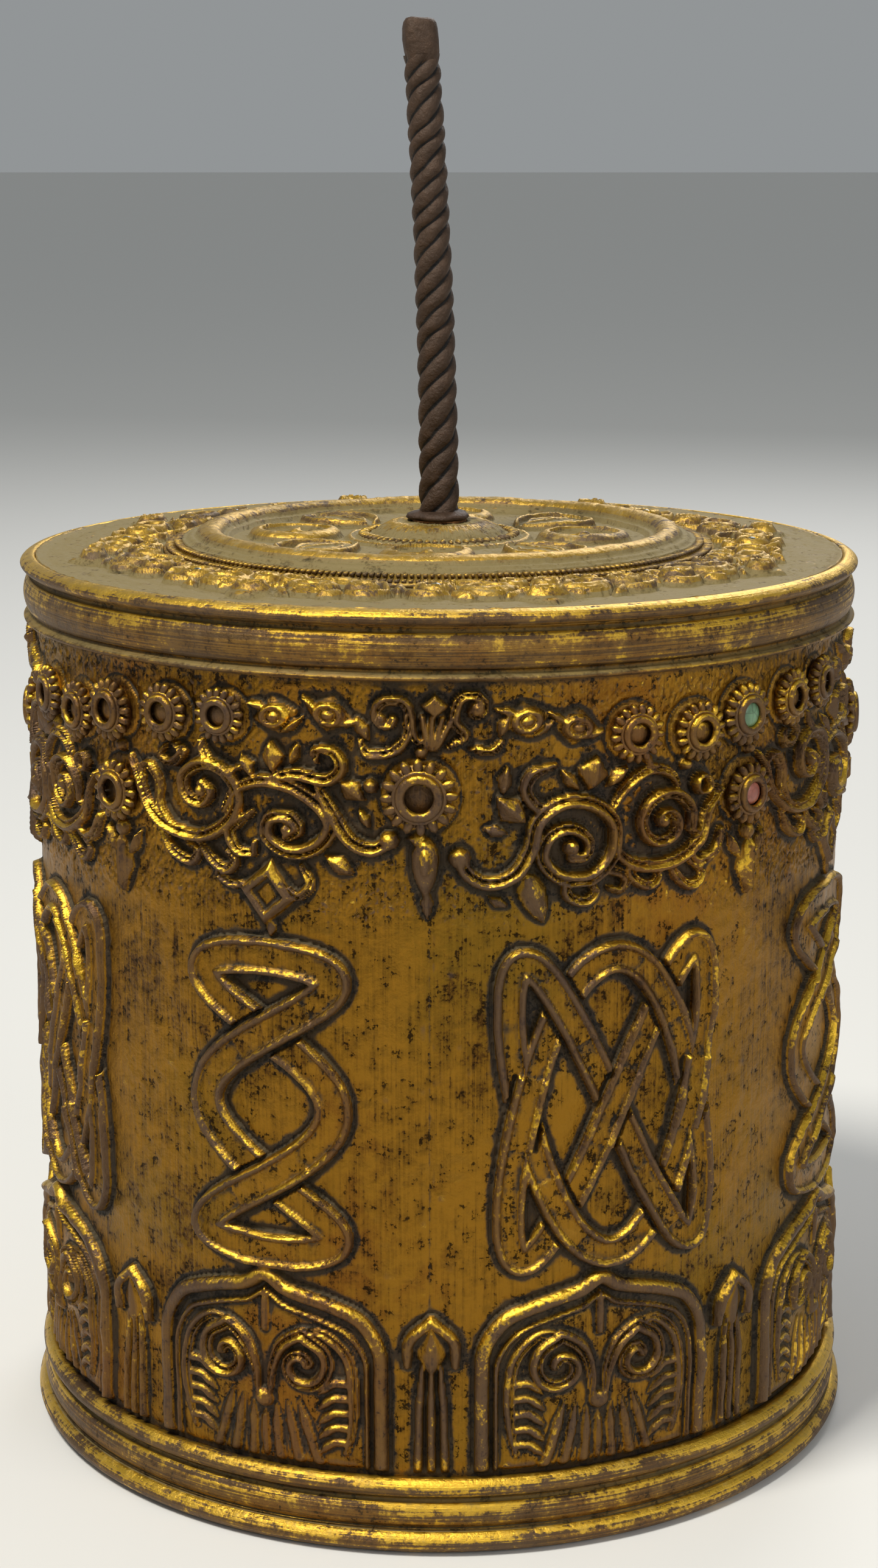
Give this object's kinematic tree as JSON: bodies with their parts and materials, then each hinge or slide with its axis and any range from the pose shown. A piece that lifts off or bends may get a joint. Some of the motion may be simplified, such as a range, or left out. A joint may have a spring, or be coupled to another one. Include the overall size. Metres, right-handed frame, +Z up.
{
  "type": "prayer wheel",
  "caption": "Prayer wheel drum with raised lotus and scroll work, stone settings and a lift-off lid, holding a rolled scroll and turning on a twisted iron spindle.",
  "frame": {"origin": "on the drum's axis, at the surface that the base ring stands on", "axes": "+Z up along the drum's axis and its spindle; -Y is the drum's front, +X its right as seen from the front"},
  "size_m": [0.142, 0.142, 0.2341],
  "materials": {
    "gilt_copper": "worn gilding over chased copper, brown in the hollows",
    "dusty_gilt": "gilt copper under grey dust",
    "plain_copper": "ungilt sheet copper, dull brown",
    "wrought_iron": "forged, rusty brown",
    "turquoise": "polished, dulled",
    "coral": "polished, dulled",
    "green_glass": "dark bead under dust",
    "paper": "matt, aged",
    "cloth": "plain woven cotton",
    "tie_cord": "braided cotton tape",
    "wood": "plain, unvarnished"
  },
  "bodies": {
    "drum": {"drum_shell": "gilt_copper", "base_ring": "gilt_copper", "base_plate": "plain_copper", "foot_bearing": "wrought_iron", "foot_bearing_rivets": "plain_copper", "core_tube": "wood", "packing_disc_bottom": "wood", "packing_disc_top": "wood", "mantra_roll": "paper", "roll_cloth": "cloth", "roll_ties": "tie_cord", "pendant_settings": "gilt_copper", "garland_settings": "gilt_copper", "coral_cabochons": "coral", "turquoise_cabochons": "turquoise"},
    "lid": {"lid_plate": "dusty_gilt", "lid_rim": "gilt_copper", "lid_skirt": "plain_copper", "lid_medallion": "dusty_gilt", "lid_notched_band": "dusty_gilt", "lid_boss": "dusty_gilt", "lid_bush": "gilt_copper", "lid_leaf_settings": "dusty_gilt", "lid_crescents": "dusty_gilt", "lid_round_settings": "dusty_gilt", "lid_glass_beads": "green_glass"},
    "spindle": {"spindle": "wrought_iron", "spindle_collar": "wrought_iron"}
  },
  "joints": [
    {"name": "lid_lift", "type": "slide", "parent": "drum", "child": "lid", "axis": [0, 0, 1], "range_m": [0, 0.16]},
    {"name": "spindle_spin", "type": "hinge", "parent": "lid", "child": "spindle", "pos_m": [0, 0, 0.15], "axis": [0, 0, 1], "continuous": true}
  ]
}
